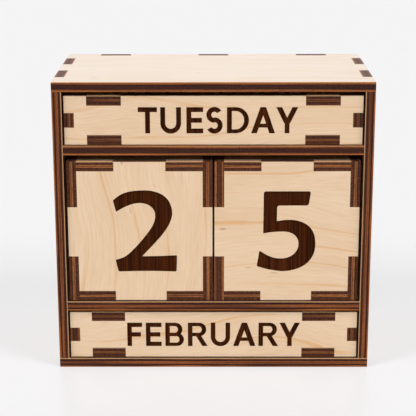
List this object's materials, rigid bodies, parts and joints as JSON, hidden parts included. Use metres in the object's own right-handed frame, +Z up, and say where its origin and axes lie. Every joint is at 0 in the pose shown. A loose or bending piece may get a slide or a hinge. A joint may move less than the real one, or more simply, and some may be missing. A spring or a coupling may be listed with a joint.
{
  "type": "perpetual desk calendar",
  "caption": "Open plywood case with three compartments, holding sliding weekday bars, number cubes and month bars, all laser-cut and finger-jointed.",
  "frame": {"origin": "middle of the case's underside", "axes": "+Z up, the open front faces -Y, +X to the right seen from the front"},
  "size_m": [0.098, 0.054, 0.092],
  "materials": {
    "case_plywood": "laser-cut birch plywood, uncoated, with dark scorched edges that show the plies",
    "cube_plywood": "sanded birch plywood with scorched edges and an engraved number",
    "bar_plywood": "sanded birch plywood with scorched edges and an engraved word"
  },
  "bodies": {
    "case": {"top_board": "case_plywood", "bottom_board": "case_plywood", "left_side": "case_plywood", "right_side": "case_plywood", "upper_shelf": "case_plywood", "lower_shelf": "case_plywood", "back_board": "case_plywood"},
    "left_cube": {"left_cube_front": "cube_plywood", "left_cube_back": "cube_plywood", "left_cube_left": "cube_plywood", "left_cube_right": "cube_plywood", "left_cube_top": "cube_plywood", "left_cube_bottom": "cube_plywood"},
    "right_cube": {"right_cube_front": "cube_plywood", "right_cube_back": "cube_plywood", "right_cube_left": "cube_plywood", "right_cube_right": "cube_plywood", "right_cube_top": "cube_plywood", "right_cube_bottom": "cube_plywood"},
    "weekday_bar_1": {"weekday_bar_1_front": "bar_plywood", "weekday_bar_1_back": "bar_plywood", "weekday_bar_1_left": "bar_plywood", "weekday_bar_1_right": "bar_plywood", "weekday_bar_1_top": "bar_plywood", "weekday_bar_1_bottom": "bar_plywood"},
    "weekday_bar_2": {"weekday_bar_2_front": "bar_plywood", "weekday_bar_2_back": "bar_plywood", "weekday_bar_2_left": "bar_plywood", "weekday_bar_2_right": "bar_plywood", "weekday_bar_2_top": "bar_plywood", "weekday_bar_2_bottom": "bar_plywood"},
    "month_bar_1": {"month_bar_1_front": "bar_plywood", "month_bar_1_back": "bar_plywood", "month_bar_1_left": "bar_plywood", "month_bar_1_right": "bar_plywood", "month_bar_1_top": "bar_plywood", "month_bar_1_bottom": "bar_plywood"},
    "month_bar_2": {"month_bar_2_front": "bar_plywood", "month_bar_2_back": "bar_plywood", "month_bar_2_left": "bar_plywood", "month_bar_2_right": "bar_plywood", "month_bar_2_top": "bar_plywood", "month_bar_2_bottom": "bar_plywood"},
    "month_bar_3": {"month_bar_3_front": "bar_plywood", "month_bar_3_back": "bar_plywood", "month_bar_3_left": "bar_plywood", "month_bar_3_right": "bar_plywood", "month_bar_3_top": "bar_plywood", "month_bar_3_bottom": "bar_plywood"}
  },
  "joints": [
    {"name": "left_cube_slide", "type": "slide", "parent": "case", "child": "left_cube", "axis": [0, -1, 0], "range_m": [0, 0.05]},
    {"name": "right_cube_slide", "type": "slide", "parent": "case", "child": "right_cube", "axis": [0, -1, 0], "range_m": [0, 0.05]},
    {"name": "weekday_bar_2_slide", "type": "slide", "parent": "case", "child": "weekday_bar_2", "axis": [0, -1, 0], "range_m": [0, 0.036]},
    {"name": "weekday_bar_1_slide", "type": "slide", "parent": "weekday_bar_2", "child": "weekday_bar_1", "axis": [0, -1, 0], "range_m": [0, 0.02]},
    {"name": "month_bar_3_slide", "type": "slide", "parent": "case", "child": "month_bar_3", "axis": [0, -1, 0], "range_m": [0, 0.052]},
    {"name": "month_bar_2_slide", "type": "slide", "parent": "month_bar_3", "child": "month_bar_2", "axis": [0, -1, 0], "range_m": [0, 0.036]},
    {"name": "month_bar_1_slide", "type": "slide", "parent": "month_bar_2", "child": "month_bar_1", "axis": [0, -1, 0], "range_m": [0, 0.02]}
  ]
}
